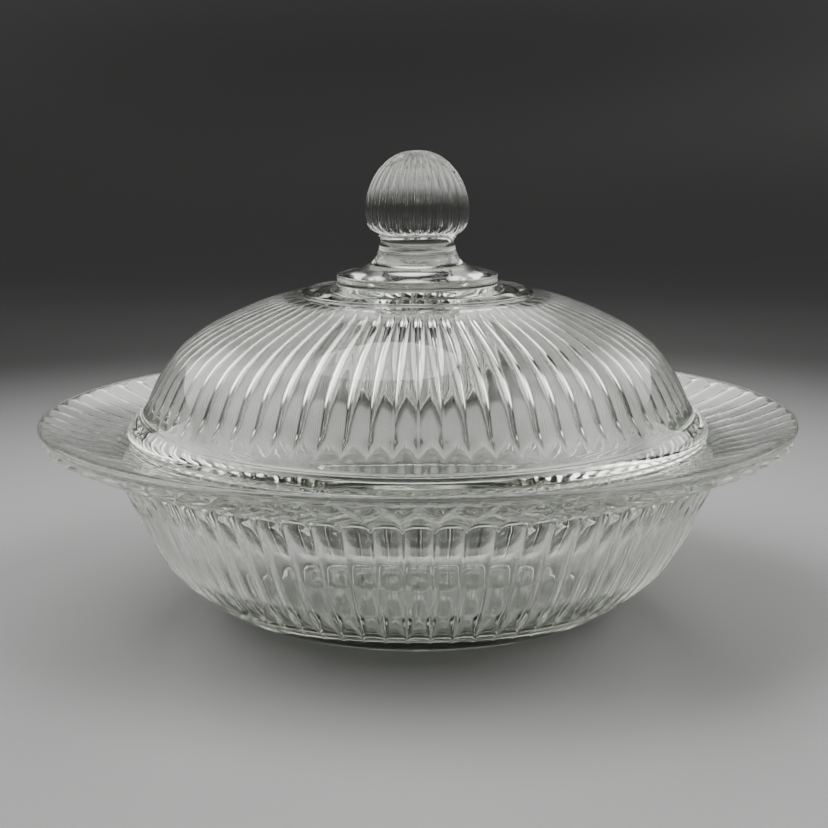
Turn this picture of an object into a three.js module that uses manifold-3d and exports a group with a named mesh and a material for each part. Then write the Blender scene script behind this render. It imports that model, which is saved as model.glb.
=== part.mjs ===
// A round covered butter dish of clear pressed glass: a footed bowl with a wide ribbed rim,
// and a domed cover with a knob that lifts straight off.
// Millimetres, +Z up. The origin is the centre of the foot, on the surface the dish stands on.
import * as THREE from 'three';
import { mergeVertices } from 'three/addons/utils/BufferGeometryUtils.js';
import Module from 'manifold-3d';

// ---- Driving dimensions ----
const RIM_RADIUS = 95;
const RIM_TOP = 48.9;
const BEAD_THICKNESS = 1.8;
const TOOTH_DEPTH = 2.3; // how far a rib hangs below the bead at the rim's edge
const RIB_COUNT = 72; // ribs round the dish, and as many inside the cover
const BOWL_RADIUS = 78; // over the ribs, just under the rim
const BOWL_TOP = 37.6; // where the ribs turn from the bowl's wall to the rim
const WALL_RIB_DEPTH = 1.3;
const RIB_END = { radius: 57, height: 5.6 };
const FOOT_RADIUS = 46;
const FOOT_WIDTH = 3;
const SEAT = { inner: 69.2, outer: 74.3, height: 43.2 };
const WELL_FLOOR = 5.6;

const SEAT_GAP = 0.3; // clearance between the cover and its seat
const COVER_RADIUS = 73.4;
const DOME_TOP = 80.6; // the middle of the dome, hidden under the collar
const STEP_RADIUS = 29.3; // the low step round the collar
const COLLAR = { radius: 20.3, top: 83.4 };
const CEILING = { radius: 33.2, height: 76 }; // the plain round inside, where the ribs start
const NECK_RADIUS = 9.3;
const KNOB_RADIUS = 13.1;
const KNOB_TOP = 114.3;
const KNOB_RIB_COUNT = 28;
const KNOB_RIB_DEPTH = 0.7;

const GLASS = { color: '#c9d2c8', roughness: 0.06, metalness: 0 };

// ---- Shape helpers ----
const point = (radius, height) => new THREE.Vector2(radius, height);

// Evenly spaced points on a smooth curve through a few given points, without its first point.
function smooth(pairs, steps) {
  const curve = new THREE.SplineCurve(pairs.map(([radius, height]) => point(radius, height)));
  return curve.getSpacedPoints(steps).slice(1);
}

// A lathed solid with ribs. Each rib's crest follows one outline and each valley the other;
// the two outlines have the same number of points, and agree where the surface is plain.
function ribbedLathe(crests, valleys, ribCount, crestAtFront) {
  const geometry = new THREE.LatheGeometry(crests, 2 * ribCount);
  const position = geometry.attributes.position;
  const pointCount = crests.length;
  for (let meridian = crestAtFront ? 1 : 0; meridian <= 2 * ribCount; meridian += 2) {
    const angle = (meridian * Math.PI) / ribCount;
    for (let step = 0; step < pointCount; step += 1) {
      const { x: radius, y: height } = valleys[step];
      const index = meridian * pointCount + step;
      position.setXYZ(index, radius * Math.sin(angle), height, radius * Math.cos(angle));
    }
  }
  return geometry.rotateX(Math.PI / 2);
}

// ---- Dish: foot, ribbed bowl and ribbed rim, one pressing ----
function dishGeometry() {
  const undersideSlope = point(RIM_RADIUS - 0.7, RIM_TOP - BEAD_THICKNESS);
  const base = [
    point(0, 1.2),
    point(FOOT_RADIUS - FOOT_WIDTH - 1.6, 1),
    point(FOOT_RADIUS - FOOT_WIDTH, 0),
    point(FOOT_RADIUS, 0),
    point(49.5, 0.9),
    point(53.4, 3),
    point(RIB_END.radius, RIB_END.height),
  ];
  const wallCrest = smooth(
    [[RIB_END.radius, RIB_END.height], [62.4, 10.2], [68.1, 17.9], [72.3, 27],
      [BOWL_RADIUS, BOWL_TOP]], 5);
  const wallValley = smooth(
    [[RIB_END.radius, RIB_END.height], [61.3, 11], [66.9, 18.4], [71.1, 27.5],
      [BOWL_RADIUS - WALL_RIB_DEPTH, BOWL_TOP + 0.75]], 5);
  const rimCrest = [point(undersideSlope.x, undersideSlope.y - TOOTH_DEPTH), undersideSlope];
  const rimValley = [point(undersideSlope.x, undersideSlope.y - 0.2), undersideSlope];
  const top = [
    point(RIM_RADIUS, RIM_TOP - 1.3),
    point(RIM_RADIUS, RIM_TOP - 0.5),
    point(RIM_RADIUS - 0.6, RIM_TOP),
    point(RIM_RADIUS - 2, RIM_TOP - 0.2),
    ...smooth([[RIM_RADIUS - 2, RIM_TOP - 0.2], [84, 45.3], [SEAT.outer, SEAT.height]], 2),
    point(SEAT.inner, SEAT.height),
    point(SEAT.inner - 0.9, SEAT.height - 0.9),
    point(67.2, 36),
    point(65.8, 29),
    point(63.4, 22),
    point(60.2, 15.6),
    point(58, 12),
    point(54.6, 8.6),
    point(50, 6.9),
    point(42, WELL_FLOOR + 0.3),
    point(0, WELL_FLOOR),
  ];
  return ribbedLathe(
    [...base, ...wallCrest, ...rimCrest, ...top],
    [...base, ...wallValley, ...rimValley, ...top], RIB_COUNT, false);
}

// ---- Cover: smooth dome outside, ribs inside, one pressing with its collar, neck and knob ----
function domeGeometry() {
  const bottom = SEAT.height + SEAT_GAP;
  const flange = [
    point(COVER_RADIUS - 0.6, bottom),
    point(COVER_RADIUS, bottom + 0.7),
    point(COVER_RADIUS, bottom + 1.9),
  ];
  const outside = [
    ...smooth([[COVER_RADIUS, bottom + 1.9], [72.6, 47.4], [70.1, 50.1], [68.4, 52.7], [65.9, 57.4],
      [61.6, 63.8], [53.9, 70], [39.3, 76.6], [STEP_RADIUS + 1, 78.6]], 9),
    point(STEP_RADIUS - 0.1, 79),
    point(STEP_RADIUS - 2.1, 80),
    point(24.4, 80.3),
    point(COLLAR.radius, DOME_TOP),
    point(0, DOME_TOP),
  ];
  const roof = [CEILING.radius, CEILING.height];
  const spring = [63.6, 48.4];
  const valley = smooth([roof, [40.3, 73.4], [50.8, 68.7], [57.3, 64], [61.3, 58.6], [63.4, 52.9],
    spring], 6);
  const crest = smooth([roof, [39.7, 72.1], [50.1, 67.4], [56.4, 62.9], [60, 58], [62, 52.6],
    spring], 6);
  const foot = [
    point(64.6, 46),
    point(68.2, bottom + 0.3),
    point(68.9, bottom),
  ];
  return ribbedLathe(
    [point(0, CEILING.height), point(...roof), ...crest, ...foot, ...flange, ...outside],
    [point(0, CEILING.height), point(...roof), ...valley, ...foot, ...flange, ...outside],
    RIB_COUNT, true);
}

function knobGeometry() {
  const stem = [
    point(0, DOME_TOP - 1.2),
    point(COLLAR.radius, DOME_TOP - 1.2),
    point(COLLAR.radius, COLLAR.top - 0.4),
    point(COLLAR.radius - 0.5, COLLAR.top),
    point(16, 84.6),
    ...smooth([[14.1, 85.1], [11.1, 86.8], [9.8, 89.4], [NECK_RADIUS, 92.2]], 4),
    point(NECK_RADIUS + 0.4, 93),
  ];
  const ballOutline = [[NECK_RADIUS + 0.4, 93], [12.45, 97], [KNOB_RADIUS, 99.8], [12.15, 104.6],
    [9.6, 109.4], [5.5, 113], [1.5, KNOB_TOP]];
  const crest = smooth(ballOutline, 8);
  const crown = point(0, KNOB_TOP + 0.1);
  const valley = crest.map(({ x: radius, y: height }) => {
    const depth = KNOB_RIB_DEPTH * THREE.MathUtils.smoothstep(radius, 2, 10);
    return point(radius - depth, height);
  });
  return ribbedLathe([...stem, ...crest, crown], [...stem, ...valley, crown],
    KNOB_RIB_COUNT, false);
}

// ---- Boolean join ----
const wasm = await Module();
wasm.setup();

function toSolid(geometry) {
  const bare = geometry.clone();
  bare.deleteAttribute('normal');
  bare.deleteAttribute('uv');
  const merged = mergeVertices(bare, 1e-3);
  return new wasm.Manifold(new wasm.Mesh({
    numProp: 3,
    vertProperties: new Float32Array(merged.attributes.position.array),
    triVerts: new Uint32Array(merged.index.array),
  }));
}

function joined(...geometries) {
  const { numProp, vertProperties, triVerts } = geometries
    .map(toSolid)
    .reduce((whole, solid) => whole.add(solid))
    .getMesh();
  const geometry = new THREE.BufferGeometry();
  geometry.setAttribute('position', new THREE.BufferAttribute(vertProperties, numProp));
  geometry.setIndex(new THREE.BufferAttribute(triVerts, 1));
  geometry.computeVertexNormals();
  return geometry;
}

// ---- Assembly ----
function pressedGlass(name, geometry) {
  const mesh = new THREE.Mesh(geometry, new THREE.MeshStandardMaterial(GLASS));
  mesh.name = name;
  return mesh;
}

const butterDish = new THREE.Group();
butterDish.add(
  pressedGlass('dish', dishGeometry()),
  pressedGlass('cover', joined(domeGeometry(), knobGeometry())),
);

export default butterDish;
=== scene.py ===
"""Looks of a covered butter dish of clear pressed glass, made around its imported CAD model.

Two pieces replace the two CAD nodes: the dish, a bowl with a wide ribbed rim, and its cover.
Both are lathed in fine rings, with the ribs worked out from the angle round the axis.
"""
import math

import bmesh
import bpy
from mathutils import Matrix, Vector


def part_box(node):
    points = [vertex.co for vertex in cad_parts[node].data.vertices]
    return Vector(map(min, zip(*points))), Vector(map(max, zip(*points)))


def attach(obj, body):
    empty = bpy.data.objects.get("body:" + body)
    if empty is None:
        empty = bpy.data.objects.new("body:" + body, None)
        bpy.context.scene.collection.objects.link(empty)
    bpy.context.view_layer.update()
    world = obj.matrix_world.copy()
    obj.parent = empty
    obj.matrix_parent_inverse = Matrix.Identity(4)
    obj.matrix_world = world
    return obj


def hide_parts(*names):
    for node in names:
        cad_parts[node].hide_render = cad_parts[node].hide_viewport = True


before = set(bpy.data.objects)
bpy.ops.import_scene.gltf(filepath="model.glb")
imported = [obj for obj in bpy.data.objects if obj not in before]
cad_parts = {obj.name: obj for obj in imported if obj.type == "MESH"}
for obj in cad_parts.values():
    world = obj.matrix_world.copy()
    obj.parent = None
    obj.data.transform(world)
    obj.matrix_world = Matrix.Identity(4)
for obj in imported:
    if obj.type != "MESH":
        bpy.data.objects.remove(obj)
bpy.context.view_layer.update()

MM = 0.001

# ---- Driving sizes, in millimetres, from the CAD boxes ----
DISH_LOW, DISH_HIGH = (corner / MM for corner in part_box("dish"))
COVER_LOW, COVER_HIGH = (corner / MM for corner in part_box("cover"))
RIM_RADIUS = DISH_HIGH.x
RIM_TOP = DISH_HIGH.z
FLANGE_RADIUS = COVER_HIGH.x
FLANGE_BOTTOM = COVER_LOW.z
KNOB_TOP = COVER_HIGH.z

RIB_COUNT = 72
KNOB_RIB_COUNT = 28
KNOB_TURN = math.radians(3)  # the knob's ribs aren't lined up with the dome's

# ---- Columns round the axis: the finer numbers are whole multiples of the coarser ones ----
RIB_COLUMNS = 1008
KNOB_COLUMNS = 504
PLAIN_COLUMNS = 252


class Ring:
    """One ring of a lathed surface: where its crests lie, and how its grooves are cut."""

    def __init__(self, crest, valley=None, reach=1.0, sink=0.0, power=1.0, lift=0.0,
                 columns=PLAIN_COLUMNS):
        self.crest = crest
        self.valley = valley or crest
        self.reach = reach  # how much of a groove's depth is cut
        self.sink = sink  # how far a rib has sunk into the grooves' floor
        self.power = power
        self.lift = lift  # how far the ring follows the wave of the mould's seam
        self.columns = columns


# ---- Outlines, whose points are (radius, height) ----
def spline(points, steps):
    """Points on a Catmull-Rom curve through the given ones, without its first point."""
    ends = [points[0]] + list(points) + [points[-1]]
    result = []
    for a, b, c, d in zip(ends, ends[1:], ends[2:], ends[3:]):
        for step in range(1, steps + 1):
            t = step / steps
            result.append(tuple(
                0.5 * (2 * q + (r - p) * t + (2 * p - 5 * q + 4 * r - s) * t ** 2
                       + (3 * q - p - 3 * r + s) * t ** 3)
                for p, q, r, s in zip(a, b, c, d)))
    return result


def rounded(points, spacing=1.5, corner_steps=5):
    """A run of straight lines with rounded corners. A point is (radius, height, corner radius)."""
    corners = [Vector(point[:2]) for point in points]
    path = [corners[0]]
    for before, (point, corner), after in zip(corners, zip(points[1:], corners[1:]), corners[2:]):
        size = point[2] if len(point) > 2 else 0
        if size == 0:
            path.append(corner)
            continue
        back, ahead = (before - corner).normalized(), (after - corner).normalized()
        half = back.angle(ahead) / 2
        run = size / math.tan(half)
        centre = corner + (back + ahead).normalized() * size / math.sin(half)
        start, end = corner + back * run - centre, corner + ahead * run - centre
        turn = start.angle_signed(end)
        for step in range(corner_steps + 1):
            spin = Matrix.Rotation(-turn * step / corner_steps, 2)
            path.append(centre + spin @ start)
    path.append(corners[-1])
    result = []
    for a, b in zip(path, path[1:]):
        pieces = max(1, math.ceil((b - a).length / spacing))
        result += [tuple(a.lerp(b, step / pieces)) for step in range(pieces)]
    return result + [tuple(path[-1])]


def plain(points, columns=PLAIN_COLUMNS):
    return [Ring(point, columns=columns) for point in points]


def offset(points, distance):
    """The same outline moved sideways, to the right of its own direction."""
    result = []
    for i, point in enumerate(points):
        before, after = points[max(i - 1, 0)], points[min(i + 1, len(points) - 1)]
        run = Vector((after[0] - before[0], after[1] - before[1])).normalized() * distance
        result.append((point[0] + run.y, point[1] - run.x))
    return result


def ramp(value, start, end):
    """0 at start, 1 at end, and a smooth rise between them."""
    t = min(max((value - start) / (end - start), 0), 1)
    return t * t * (3 - 2 * t)


# ---- Lathing ----
def soft_min(a, b, softness=0.06):
    """The lower of two numbers, with the crease between them rounded off."""
    blend = max(softness - abs(a - b), 0) / softness
    return min(a, b) - blend * blend * softness / 4


def flute(distance, ring):
    """Depth of a concave groove with sharp crests, from 0 to 1. distance is 0 in its middle."""
    if ring.reach <= 0:
        return 0
    return soft_min(1 - distance ** ring.power + ring.sink, ring.reach)


def reed(distance, ring):
    """Depth of a narrow groove between round ribs."""
    return (1 - distance) ** ring.power * ring.reach


SEAM_WAVES = ((0.28, 1, 2.0), (0.16, 3, 0.6))  # height in mm, waves in a turn, angle of start
RUN_DROP = 0.75
RUN_ANGLE = 1.05
RUN_WIDTH = 0.09


def seam_wave(angle):
    """Height of the uneven seam between the mould's parts, with one small run of glass."""
    waves = sum(height * math.sin(count * angle + start) for height, count, start in SEAM_WAVES)
    run = math.exp(-((angle - RUN_ANGLE) / RUN_WIDTH) ** 2)
    return waves - RUN_DROP * run


def add_ring(bm, ring, groove, rib_count, turn):
    if ring.crest[0] < 1e-6:
        return [bm.verts.new((0, 0, ring.crest[1] * MM))]
    verts = []
    for column in range(ring.columns):
        angle = 2 * math.pi * column / ring.columns
        place = (angle - turn) * rib_count / (2 * math.pi)
        distance = abs(2 * (place - math.floor(place + 0.5)))
        share = groove(distance, ring)
        radius, height = (c + (v - c) * share for c, v in zip(ring.crest, ring.valley))
        height += ring.lift * seam_wave(angle)
        verts.append(bm.verts.new((
            radius * math.sin(angle) * MM, -radius * math.cos(angle) * MM, height * MM)))
    return verts


def bridge(bm, lower, upper):
    """Faces between two rings, of which one may have a whole multiple of the other's points."""
    if len(upper) > len(lower):
        lower, upper = upper, lower
    ratio = len(lower) // len(upper)
    for i, near in enumerate(upper):
        fine = [lower[(ratio * i + j) % len(lower)] for j in range(ratio + 1)]
        after = upper[(i + 1) % len(upper)]
        if ratio == 1:
            bm.faces.new((fine[0], fine[1], after, near))
            continue
        if len(upper) == 1:
            for a, b in zip(fine, fine[1:]):
                bm.faces.new((a, b, near))
            continue
        middle = ratio // 2
        for j in range(ratio):
            bm.faces.new((fine[j], fine[j + 1], near if j < middle else after))
        bm.faces.new((fine[middle], after, near))


def lathe(name, sections):
    """A closed mesh from sections of rings: each is (rings, groove, rib count, turn)."""
    bm = bmesh.new()
    rows = []
    for rings, groove, rib_count, turn in sections:
        rows += [add_ring(bm, ring, groove, rib_count, turn) for ring in rings]
    for lower, upper in zip(rows, rows[1:]):
        bridge(bm, lower, upper)
    bmesh.ops.recalc_face_normals(bm, faces=bm.faces)
    mesh = bpy.data.meshes.new(name)
    bm.to_mesh(mesh)
    bm.free()
    mesh.shade_smooth()
    piece = bpy.data.objects.new(name, mesh)
    bpy.context.scene.collection.objects.link(piece)
    return piece


# ---- The dish: radii and heights in millimetres ----
BEAD_THICKNESS = 1.8
TOOTH_DEPTH = 2.3
BEAD_INSET = 0.7  # from the rim's outer edge to the teeth under the bead
BOWL_CORNER = (78.0, 37.6)  # where the ribs turn from the wall to the rim's underside
CORNER_GROOVE = (76.65, 38.35)  # the floor of the grooves at that corner
BEAD_END = (RIM_RADIUS - 3.5, RIM_TOP - 0.75)  # where the bead runs into the rim's top
SEAT_GAP = 0.3
SEAT_HEIGHT = FLANGE_BOTTOM - SEAT_GAP
SEAT_EDGE = (74.4, SEAT_HEIGHT)
WALL_RIB_DEPTH = 1.3
WALL_GROOVES = (4.2, 11)  # heights between which the wall's grooves reach their full depth

# The power of a groove's section: 1 is a V, and more is a rounder floor with sharper crests.
FOOT_POWER = 1.6
WALL_POWER = 3.2
EDGE_POWER = 1.2
POWER_RISE = (4, 18)  # heights on the wall
POWER_FALL = (0, 0.6)  # shares of the rim's width


def dish_outside():
    """Foot, wall and rim underside, from the axis to the bead."""
    foot = plain(rounded([
        (0, 1.3), (40.6, 1.0, 1.2), (43.2, 0, 0.5), (45.8, 0, 1.5), (49.5, 1.0, 6), (53.4, 3.0),
    ]))
    crest = spline([
        (53.4, 3.0), (58.2, 6.5), (62.4, 10.2), (65.6, 14.0), (68.1, 17.9), (70.3, 22.3),
        (72.3, 27.0), (74.7, 32.1), BOWL_CORNER], 4)
    valley = offset(crest, -WALL_RIB_DEPTH)
    valley[-1] = CORNER_GROOVE
    wall = [
        Ring(c, v, reach=ramp(c[1], *WALL_GROOVES),
             power=FOOT_POWER + (WALL_POWER - FOOT_POWER) * ramp(c[1], *POWER_RISE),
             columns=RIB_COLUMNS)
        for c, v in zip(crest, valley)]
    edge = RIM_RADIUS - BEAD_INSET
    bead_under = RIM_TOP - BEAD_THICKNESS
    tooth_bottom = bead_under - TOOTH_DEPTH
    crest = rounded([BOWL_CORNER, (edge - 0.1, tooth_bottom, 0.5), (edge, bead_under)], 1.4)[1:]
    end = (edge, bead_under - 0.15)
    length = edge - BOWL_CORNER[0]
    rim = []
    for c in crest:
        share = min((c[0] - BOWL_CORNER[0]) / length, 1)
        valley_point = tuple(a + (b - a) * share for a, b in zip(CORNER_GROOVE, end))
        on_tooth_face = share > 0.95 and c[1] > tooth_bottom + 0.4
        if on_tooth_face:
            valley_point = (edge, max(c[1], end[1]))
        power = WALL_POWER + (EDGE_POWER - WALL_POWER) * ramp(share, *POWER_FALL)
        rim.append(Ring(c, valley_point, power=power, columns=RIB_COLUMNS))
    return foot + wall + rim


def dish_inside():
    """Bead, rim top, seat and well, from the bead to the axis."""
    bead = rounded([
        (RIM_RADIUS - BEAD_INSET, RIM_TOP - BEAD_THICKNESS),
        (RIM_RADIUS, RIM_TOP - BEAD_THICKNESS, 0.6),
        (RIM_RADIUS, RIM_TOP, 0.8),
        (RIM_RADIUS - 2.2, RIM_TOP - 0.25, 1),
        BEAD_END,
    ], 0.6)[1:]
    top = spline([BEAD_END, (86, 46.1), (79, 44.2), SEAT_EDGE], 5)
    well = rounded([
        SEAT_EDGE, (69.2, SEAT_HEIGHT, 0.8), (68, 42.0, 1.5), (67.2, 36), (65.8, 29),
        (63.4, 22), (59.5, 14.5, 6), (53, 7.2, 7), (44, 6.0, 30), (0, 5.6),
    ])[1:]
    return plain(bead + top + well)


def make_dish():
    return lathe("glass_dish", [(dish_outside() + dish_inside(), flute, RIB_COUNT, 0)])


# ---- The cover: radii and heights in millimetres ----
COLLAR_RADIUS = 20.3
NECK_RADIUS = 9.3
NECK_TOP = 91.6
CEILING_EDGE = (33.2, 76.0)
COVER_RIB_DEPTH = 1.4
COVER_POWER = 1.5
TIP_RADII = (32.4, 36.5)  # the cover's ribs come to a point between these radii, at the top
TIP_HEIGHTS = (54.5, 48)  # and between these heights, at the bottom
FLANGE_EDGE = (FLANGE_RADIUS, FLANGE_BOTTOM + 1.6)
STEP_TOP = (30.2, 78.6)  # where the dome meets the low step under the collar
COLLAR_END = (14.1, 85.1)
LIP = 0.45  # how far the seam's lip stands out from the neck
KNOB_BOTTOM = (NECK_RADIUS + 0.1, 93.4)
KNOB_GROOVE_DEPTH = 0.9
KNOB_TOP_GROOVE_DROP = 0.7  # near the top, the grooves are cut downwards as well as inwards
KNOB_POWER = 2.6


def cover_inside():
    """Ceiling, ribs and the flange's inner face, from the axis to the seat."""
    ceiling = plain(rounded([(0, 76.4), (24, 76.4), CEILING_EDGE], 6))
    valley = spline([
        CEILING_EDGE, (37.0, 74.7), (42.0, 72.8), (47.0, 70.6), (50.8, 68.7), (54.2, 66.5),
        (57.3, 64.0), (60.0, 60.8), (62.0, 56.9), (63.4, 52.9), (64.8, 48.2)], 3)
    crest = offset(valley, COVER_RIB_DEPTH)
    ribs = []
    for c, v in zip(crest, valley):
        sink = max(1 - ramp(v[0], *TIP_RADII), ramp(v[1], *TIP_HEIGHTS))
        ribs.append(Ring(c, v, sink=sink, power=COVER_POWER, columns=RIB_COLUMNS))
    foot = plain(rounded([
        valley[-1], (66.0, 45.4, 2.0), (69.0, FLANGE_BOTTOM, 0.8),
        (FLANGE_RADIUS - 0.5, FLANGE_BOTTOM, 0.8), FLANGE_EDGE,
    ], 1.2))[1:]
    return ceiling + ribs + foot


def dome_outside():
    """The smooth dome and the collar's disc and step, from the flange to the neck."""
    dome = spline([
        FLANGE_EDGE, (73.2, 46.2), (72.6, 47.4), (71.4, 48.7),
        (70.1, 50.1), (68.4, 52.7), (67.1, 55.1), (65.9, 57.4), (64.6, 59.6), (63.2, 61.7),
        (61.6, 63.8), (59.6, 65.9), (57.0, 67.9), (53.9, 70.0), (50.0, 72.1), (45.2, 74.3),
        (39.3, 76.6), (35.5, 77.7), (31.5, 78.5), STEP_TOP], 3)
    collar = rounded([
        STEP_TOP, (29.3, 78.5, 0.3), (29.1, 79.2, 0.4), (27.2, 80.0, 0.8), (24.4, 80.3),
        (COLLAR_RADIUS, 81.0, 0.4), (COLLAR_RADIUS, 83.4, 0.4), (18.4, 84.0), (16.0, 84.6),
        COLLAR_END,
    ], 1.0)[1:]
    neck = spline([
        COLLAR_END, (12.4, 85.8), (11.1, 86.8), (10.3, 88.0), (9.8, 89.4), (9.5, 90.6),
        (NECK_RADIUS, NECK_TOP)], 3)
    return plain(dome + collar + neck)


def lip():
    """The thin wavy lip under the knob, where the mould's two parts met."""
    rings = plain(rounded([
        (NECK_RADIUS, NECK_TOP), (NECK_RADIUS + 0.05, 92.5, 0.2), (NECK_RADIUS + LIP, 92.8, 0.15),
        (NECK_RADIUS + LIP, 93.1, 0.15), KNOB_BOTTOM,
    ], 0.3), KNOB_COLUMNS)[1:]
    for ring in rings:
        ring.lift = ramp(ring.crest[1], NECK_TOP, NECK_TOP + 1)
    return rings


def knob():
    """The solid ribbed knob, from the lip to the top."""
    outline = spline([
        KNOB_BOTTOM, (10.9, 94.0), (12.2, 95.3), (12.9, 97.2), (13.1, 99.4),
        (12.85, 102.0), (12.15, 104.6), (11.1, 107.0), (9.6, 109.4), (7.4, 111.7), (5.0, 113.2),
        (2.6, 114.0), (1.2, 114.2)], 3)
    ribs = []
    for radius, height in outline:
        reach = ramp(radius, 2.5, 6) * ramp(height, 93.4, 94.6)
        drop = KNOB_TOP_GROOVE_DROP * ramp(height, 101, 112)
        ribs.append(Ring((radius, height), (radius - KNOB_GROOVE_DEPTH, height - drop),
                         reach=reach, power=KNOB_POWER, lift=1 - ramp(height, 93.2, 96),
                         columns=KNOB_COLUMNS))
    return ribs + [Ring((0, KNOB_TOP - 0.05))]


def make_cover():
    return lathe("glass_cover", [
        (cover_inside(), flute, RIB_COUNT, math.pi / RIB_COUNT),
        (dome_outside(), flute, RIB_COUNT, 0),
        (lip() + knob(), reed, KNOB_RIB_COUNT, KNOB_TURN),
    ])


# ---- Materials ----
GLASS_IOR = 1.52
GLASS_SHADOW = (0.56, 0.57, 0.55, 1)  # how much lamplight crosses one surface of the glass
GLASS_DEPTH_COLOR = (0.76, 0.80, 0.70, 1)
GLASS_DEPTH_DENSITY = 8.0  # per metre
PAINTED_FALLOFF_SPAN = (0.13, 0.45)  # metres from the axis, where the painted falloff of light starts and stops darkening the floor
PAINTED_FALLOFF_REMAINDER = 0.08  # what is then left of the floor's tone, in the painted shade beyond the falloff


def node(tree, kind, **values):
    made = tree.nodes.new(kind)
    for name, value in values.items():
        key = name.replace("_", " ")
        if key in made.inputs:
            made.inputs[key].default_value = value
        else:
            setattr(made, name, value)
    return made


def glass_material():
    """Clear pressed glass: faint warm green, gently wavy, with a slightly uneven polish."""
    material = bpy.data.materials.new("pressed_glass")
    material.use_nodes = True
    tree = material.node_tree
    links = tree.links
    tree.nodes.clear()
    output = node(tree, "ShaderNodeOutputMaterial")
    glass = node(tree, "ShaderNodeBsdfPrincipled")
    glass.inputs["Transmission Weight"].default_value = 1.0
    glass.inputs["IOR"].default_value = GLASS_IOR
    place = node(tree, "ShaderNodeTexCoord")

    tint_noise = node(tree, "ShaderNodeTexNoise", Scale=18.0, Detail=2.0)
    tint = node(tree, "ShaderNodeValToRGB")
    tint.color_ramp.elements[0].color = (0.955, 0.975, 0.95, 1)
    tint.color_ramp.elements[1].color = (0.985, 0.992, 0.975, 1)
    links.new(place.outputs["Object"], tint_noise.inputs["Vector"])
    links.new(tint_noise.outputs["Fac"], tint.inputs["Fac"])
    links.new(tint.outputs["Color"], glass.inputs["Base Color"])

    polish_noise = node(tree, "ShaderNodeTexNoise", Scale=45.0, Detail=4.0)
    polish = node(tree, "ShaderNodeMapRange")
    polish.inputs["To Min"].default_value = 0.0
    polish.inputs["To Max"].default_value = 0.05
    links.new(place.outputs["Object"], polish_noise.inputs["Vector"])
    links.new(polish_noise.outputs["Fac"], polish.inputs["Value"])
    links.new(polish.outputs["Result"], glass.inputs["Roughness"])

    wave_noise = node(tree, "ShaderNodeTexNoise", Scale=60.0, Detail=2.0)
    wave = node(tree, "ShaderNodeBump", Strength=0.35, Distance=0.0002)
    ripple_noise = node(tree, "ShaderNodeTexNoise", Scale=420.0, Detail=2.0)
    ripple = node(tree, "ShaderNodeBump", Strength=0.2, Distance=0.00003)
    links.new(place.outputs["Object"], wave_noise.inputs["Vector"])
    links.new(place.outputs["Object"], ripple_noise.inputs["Vector"])
    links.new(wave_noise.outputs["Fac"], wave.inputs["Height"])
    links.new(ripple_noise.outputs["Fac"], ripple.inputs["Height"])
    links.new(wave.outputs["Normal"], ripple.inputs["Normal"])
    links.new(ripple.outputs["Normal"], glass.inputs["Normal"])

    rays = node(tree, "ShaderNodeLightPath")
    passed = node(tree, "ShaderNodeBsdfTransparent", Color=GLASS_SHADOW)
    lamps = node(tree, "ShaderNodeMixShader")
    links.new(rays.outputs["Is Shadow Ray"], lamps.inputs["Fac"])
    links.new(glass.outputs["BSDF"], lamps.inputs[1])
    links.new(passed.outputs["BSDF"], lamps.inputs[2])
    links.new(lamps.outputs["Shader"], output.inputs["Surface"])

    depth = node(tree, "ShaderNodeVolumeAbsorption", Color=GLASS_DEPTH_COLOR,
                 Density=GLASS_DEPTH_DENSITY)
    links.new(depth.outputs["Volume"], output.inputs["Volume"])
    return material


def floor_material():
    """Pale matt paper round the dish, with painted shade: a falloff of light painted into its
    colour darkens it evenly towards the wall.
    """
    material = bpy.data.materials.new("pale_floor")
    material.use_nodes = True
    tree = material.node_tree
    links = tree.links
    shader = tree.nodes["Principled BSDF"]
    shader.inputs["Roughness"].default_value = 0.4
    place = node(tree, "ShaderNodeTexCoord")
    grain = node(tree, "ShaderNodeTexNoise", Scale=6.0, Detail=6.0)
    tone = node(tree, "ShaderNodeValToRGB")
    tone.color_ramp.elements[0].color = (0.43, 0.43, 0.44, 1)
    tone.color_ramp.elements[1].color = (0.48, 0.48, 0.48, 1)
    distance = node(tree, "ShaderNodeVectorMath", operation="LENGTH")
    # Painted falloff of light: the floor's colour darkens with distance from the dish's axis,
    # standing in for light that falls off away from the dish.
    painted_falloff = node(tree, "ShaderNodeMapRange", interpolation_type="SMOOTHSTEP")
    painted_falloff.inputs["From Min"].default_value = PAINTED_FALLOFF_SPAN[0]
    painted_falloff.inputs["From Max"].default_value = PAINTED_FALLOFF_SPAN[1]
    painted_falloff.inputs["To Min"].default_value = 1.0
    painted_falloff.inputs["To Max"].default_value = PAINTED_FALLOFF_REMAINDER
    shade = node(tree, "ShaderNodeVectorMath", operation="SCALE")
    links.new(place.outputs["Object"], grain.inputs["Vector"])
    links.new(grain.outputs["Fac"], tone.inputs["Fac"])
    links.new(place.outputs["Object"], distance.inputs[0])
    links.new(distance.outputs["Value"], painted_falloff.inputs["Value"])
    links.new(tone.outputs["Color"], shade.inputs[0])
    links.new(painted_falloff.outputs["Result"], shade.inputs["Scale"])
    links.new(shade.outputs["Vector"], shader.inputs["Base Color"])
    return material


# ---- Stage, light and camera ----
FLOOR_RADIUS = 750  # in millimetres, as the outlines are
SWEEP_RADIUS = 1100
SWEEP_HEIGHT = 380
SWEEP_STEPS = 16


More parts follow.
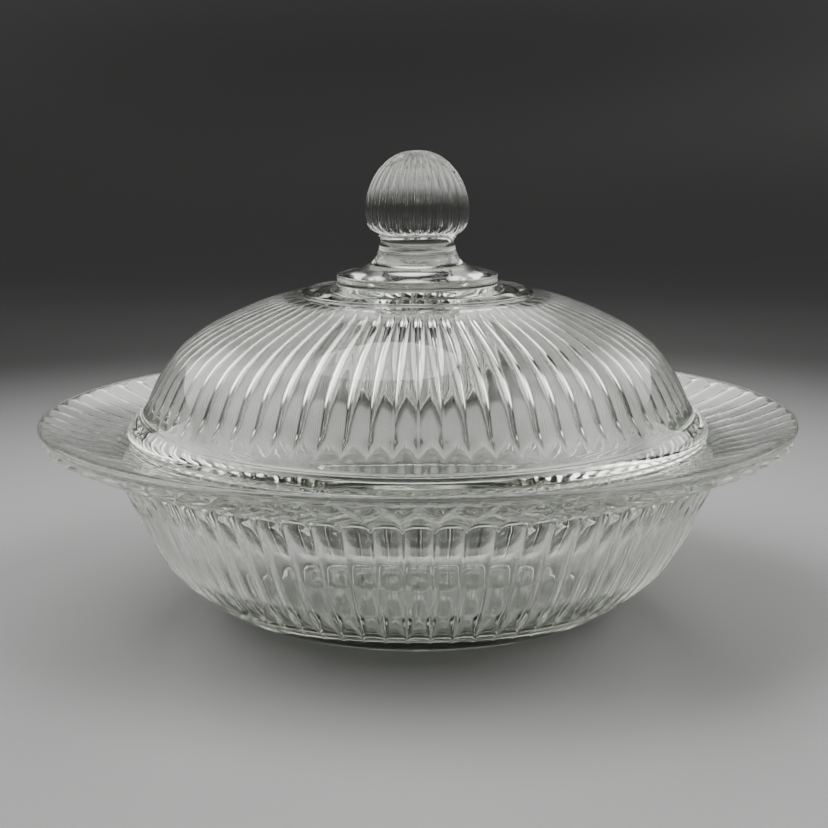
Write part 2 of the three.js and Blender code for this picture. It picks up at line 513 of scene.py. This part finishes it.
def make_stage():
    """A round floor that curves up into a plain wall, so that no edge shows behind the dish."""
    outline = [(0, 0), (FLOOR_RADIUS, 0)]
    reach = SWEEP_RADIUS - FLOOR_RADIUS
    for step in range(1, SWEEP_STEPS + 1):
        angle = math.pi / 2 * step / SWEEP_STEPS
        outline.append((FLOOR_RADIUS + reach * math.sin(angle), reach * (1 - math.cos(angle))))
    outline.append((SWEEP_RADIUS, SWEEP_HEIGHT))
    floor = lathe("floor", [(plain(outline), flute, RIB_COUNT, 0)])
    floor.data.materials.append(floor_material())


SKY_STRENGTH = 0.02  # of the dark studio itself

# Soft lights in the sky of the studio: direction, the two angles in degrees between which each
# fades from full to nothing, and strength.
SOFT_LIGHTS = [
    ((-0.62, 0.05, 0.78), (10, 32), 3.8),
    ((0.66, -0.05, 0.72), (9, 28), 3.6),
    ((-0.70, 0.55, 0.45), (4, 20), 3.4),
    ((0.72, 0.60, 0.42), (4, 18), 3.0),
    ((0.05, 0.80, 0.55), (3, 16), 2.5),
]


def make_sky():
    """A dark studio with a few large lights whose edges are soft."""
    world = bpy.data.worlds.new("studio")
    world.use_nodes = True
    tree = world.node_tree
    links = tree.links
    background = tree.nodes["Background"]
    background.inputs["Color"].default_value = (1.0, 0.99, 0.975, 1)
    direction = node(tree, "ShaderNodeTexCoord").outputs["Generated"]
    total = None
    for aim, (full, none), strength in SOFT_LIGHTS:
        facing = node(tree, "ShaderNodeVectorMath", operation="DOT_PRODUCT")
        facing.inputs[1].default_value = Vector(aim).normalized()
        glow = node(tree, "ShaderNodeMapRange", interpolation_type="SMOOTHSTEP")
        glow.inputs["From Min"].default_value = math.cos(math.radians(none))
        glow.inputs["From Max"].default_value = math.cos(math.radians(full))
        glow.inputs["To Max"].default_value = strength
        added = node(tree, "ShaderNodeMath", operation="ADD")
        added.inputs[1].default_value = SKY_STRENGTH
        links.new(direction, facing.inputs[0])
        links.new(facing.outputs["Value"], glow.inputs["Value"])
        links.new(glow.outputs["Result"], added.inputs[0])
        if total:
            links.new(total, added.inputs[1])
        total = added.outputs["Value"]
    links.new(total, background.inputs["Strength"])
    bpy.context.scene.world = world


KEY_PLACE = (-0.1, 0.2, 0.9)
KEY_SIZE = 0.5
KEY_WATTS = 2.5


def make_key():
    """A softbox overhead, which gives the dish its soft shadow."""
    light = bpy.data.lights.new("key", "AREA")
    light.shape = "DISK"
    light.size = KEY_SIZE
    light.energy = KEY_WATTS
    lamp = bpy.data.objects.new("key", light)
    lamp.location = KEY_PLACE
    lamp.visible_camera = False
    lamp.rotation_euler = (-lamp.location).to_track_quat("-Z", "Y").to_euler()
    bpy.context.scene.collection.objects.link(lamp)


# In metres, from the dish's axis and from the floor.
CAMERA_DISTANCE = 0.400
CAMERA_HEIGHT = 0.125
CAMERA_ASIDE = -0.00095
CAMERA_PITCH = math.radians(10.98)
CAMERA_ROLL = math.radians(0.2)
LENS_MM = 69.1
SENSOR_MM = 36


def make_camera():
    data = bpy.data.cameras.new("camera")
    data.sensor_width = SENSOR_MM
    data.lens = LENS_MM
    camera = bpy.data.objects.new("camera", data)
    tilt = Matrix.Rotation(math.pi / 2 - CAMERA_PITCH, 4, "X")
    roll = Matrix.Rotation(-CAMERA_ROLL, 4, "Z")
    place = Matrix.Translation((CAMERA_ASIDE, -CAMERA_DISTANCE, CAMERA_HEIGHT))
    camera.matrix_world = place @ tilt @ roll
    bpy.context.scene.collection.objects.link(camera)
    bpy.context.scene.camera = camera


def place_glass(piece, body, node_name, material):
    piece.data.materials.append(material)
    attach(piece, body)
    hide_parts(node_name)


GLASS_BOUNCES = 40
GLOSSY_BOUNCES = 12


def let_light_through():
    """Enough bounces for light to cross both walls of the cover and of the dish.

    The glass lets lamps through as a thin shadow, so focused light would count them twice.
    """
    cycles = bpy.context.scene.cycles
    cycles.max_bounces = GLASS_BOUNCES
    cycles.transmission_bounces = GLASS_BOUNCES
    cycles.glossy_bounces = GLOSSY_BOUNCES
    cycles.transparent_max_bounces = GLASS_BOUNCES
    cycles.caustics_refractive = False
    cycles.caustics_reflective = False


glass = glass_material()
place_glass(make_dish(), "dish", "dish", glass)
place_glass(make_cover(), "cover", "cover", glass)
make_stage()
make_sky()
make_key()
make_camera()
let_light_through()
